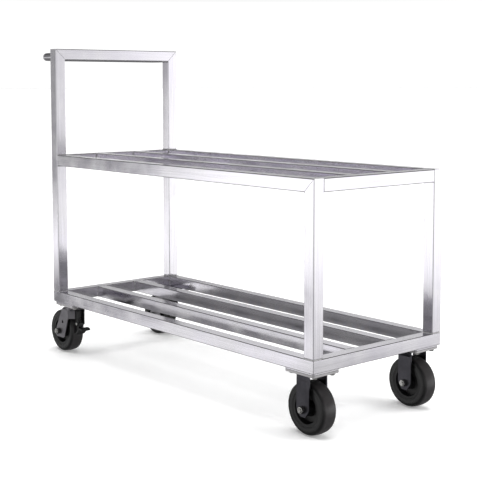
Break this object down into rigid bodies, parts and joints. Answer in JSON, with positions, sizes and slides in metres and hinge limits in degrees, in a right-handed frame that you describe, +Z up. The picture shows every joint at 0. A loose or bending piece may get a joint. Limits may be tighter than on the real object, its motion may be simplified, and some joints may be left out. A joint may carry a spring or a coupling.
{
  "type": "platform truck",
  "caption": "Platform truck with a slatted deck, a shelf above it and a bent push handle, welded from square tube, on two fixed casters in front and two braked swivel casters behind.",
  "frame": {"origin": "on the floor, under the middle of the truck's bounding box", "axes": "+Z up, +X towards the fixed casters, +Y towards the far side, with the push handle at -X"},
  "size_m": [1.4512, 0.5334, 1.098],
  "materials": {
    "tube": "satin mill finish",
    "pad": "satin mill finish",
    "caster_steel": "zinc plated",
    "fastener": "zinc plated",
    "tyre": "moulded, satin",
    "wheel_core": "moulded, satin",
    "brake": "black"
  },
  "bodies": {
    "frame": {"bottom_side_rail_near": "tube", "bottom_side_rail_far": "tube", "bottom_end_rail_front": "tube", "bottom_end_rail_rear": "tube", "bottom_deck_bar_1": "tube", "bottom_deck_bar_2": "tube", "handle_upright_near": "tube", "handle_upright_far": "tube", "handle_top_rail": "tube", "push_handle": "tube", "front_upright_near": "tube", "front_upright_far": "tube", "shelf_side_rail_near": "tube", "shelf_side_rail_far": "tube", "shelf_end_rail_front": "tube", "shelf_end_rail_rear": "tube", "shelf_bar_1": "tube", "shelf_bar_2": "tube", "front_near_corner_pad": "pad", "rear_near_corner_pad": "pad", "front_far_corner_pad": "pad", "rear_far_corner_pad": "pad", "front_near_fixed_fork": "caster_steel", "front_near_axle_bolt": "fastener", "front_near_axle_nut": "fastener", "front_near_axle_bush": "fastener", "rear_near_swivel_plate": "caster_steel", "rear_near_ball_ring": "fastener", "rear_near_kingpin": "fastener", "rear_near_kingpin_nut": "fastener", "front_far_fixed_fork": "caster_steel", "front_far_axle_bolt": "fastener", "front_far_axle_nut": "fastener", "front_far_axle_bush": "fastener", "rear_far_swivel_plate": "caster_steel", "rear_far_ball_ring": "fastener", "rear_far_kingpin": "fastener", "rear_far_kingpin_nut": "fastener"},
    "front_near_wheel": {"front_near_tyre": "tyre", "front_near_wheel_core": "wheel_core"},
    "rear_near_swivel": {"rear_near_swivel_fork": "caster_steel", "rear_near_axle_bolt": "fastener", "rear_near_axle_nut": "fastener", "rear_near_axle_bush": "fastener", "rear_near_brake_bracket": "brake", "rear_near_brake_pin": "fastener"},
    "rear_near_wheel": {"rear_near_tyre": "tyre", "rear_near_wheel_core": "wheel_core"},
    "rear_near_brake": {"rear_near_brake_pedal": "brake"},
    "front_far_wheel": {"front_far_tyre": "tyre", "front_far_wheel_core": "wheel_core"},
    "rear_far_swivel": {"rear_far_swivel_fork": "caster_steel", "rear_far_axle_bolt": "fastener", "rear_far_axle_nut": "fastener", "rear_far_axle_bush": "fastener", "rear_far_brake_bracket": "brake", "rear_far_brake_pin": "fastener"},
    "rear_far_wheel": {"rear_far_tyre": "tyre", "rear_far_wheel_core": "wheel_core"},
    "rear_far_brake": {"rear_far_brake_pedal": "brake"}
  },
  "joints": [
    {"name": "front_near_wheel_spin", "type": "hinge", "parent": "frame", "child": "front_near_wheel", "pos_m": [0.64943, -0.2111, 0.0762], "axis": [0, 1, 0], "continuous": true},
    {"name": "rear_near_caster_swivel", "type": "hinge", "parent": "frame", "child": "rear_near_swivel", "pos_m": [-0.57317, -0.2111, 0.0762], "axis": [0, 0, 1], "continuous": true},
    {"name": "rear_near_wheel_spin", "type": "hinge", "parent": "rear_near_swivel", "child": "rear_near_wheel", "pos_m": [-0.63667, -0.2111, 0.0762], "axis": [0, 1, 0], "continuous": true},
    {"name": "rear_near_brake_press", "type": "hinge", "parent": "rear_near_swivel", "child": "rear_near_brake", "pos_m": [-0.54817, -0.2111, 0.11226], "axis": [0, 1, 0], "range_deg": [0, 9]},
    {"name": "front_far_wheel_spin", "type": "hinge", "parent": "frame", "child": "front_far_wheel", "pos_m": [0.64943, 0.2111, 0.0762], "axis": [0, 1, 0], "continuous": true},
    {"name": "rear_far_caster_swivel", "type": "hinge", "parent": "frame", "child": "rear_far_swivel", "pos_m": [-0.57317, 0.2111, 0.0762], "axis": [0, 0, 1], "continuous": true},
    {"name": "rear_far_wheel_spin", "type": "hinge", "parent": "rear_far_swivel", "child": "rear_far_wheel", "pos_m": [-0.63667, 0.2111, 0.0762], "axis": [0, 1, 0], "continuous": true},
    {"name": "rear_far_brake_press", "type": "hinge", "parent": "rear_far_swivel", "child": "rear_far_brake", "pos_m": [-0.54817, 0.2111, 0.11226], "axis": [0, 1, 0], "range_deg": [0, 9]}
  ]
}
